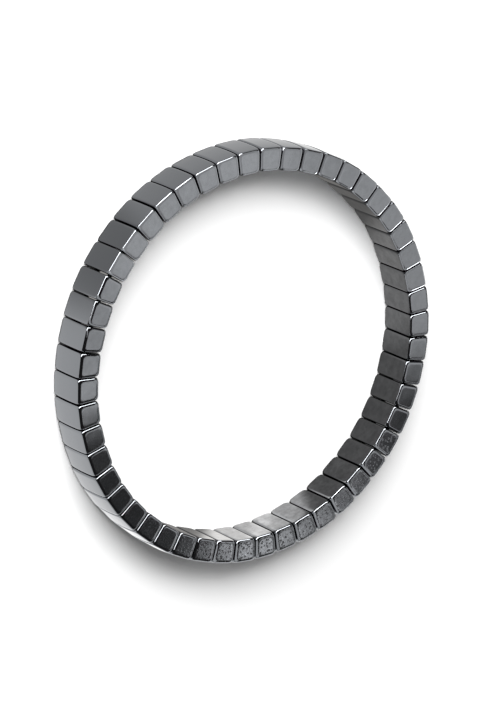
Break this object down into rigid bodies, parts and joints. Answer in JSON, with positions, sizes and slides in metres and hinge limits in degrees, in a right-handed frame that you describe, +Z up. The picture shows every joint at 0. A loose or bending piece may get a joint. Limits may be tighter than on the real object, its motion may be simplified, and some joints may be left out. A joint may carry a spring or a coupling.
{
  "type": "hematite tile bracelet",
  "caption": "Closed stretch bracelet of polished dark grey hematite tiles with crowned outer faces, drilled and strung side by side on hidden elastic cords.",
  "frame": {"origin": "the centre of the ring, on the surface that its lower rim rests on", "axes": "+Z up along the ring's own axis, which the hand goes through; +X through the middle of the first tile"},
  "size_m": [0.0648, 0.065, 0.0067],
  "materials": {
    "hematite": "polished",
    "elastic": "matte"
  },
  "bodies": {
    "root": {"hematite_tiles": "hematite", "upper_elastic": "elastic", "lower_elastic": "elastic"}
  },
  "joints": []
}
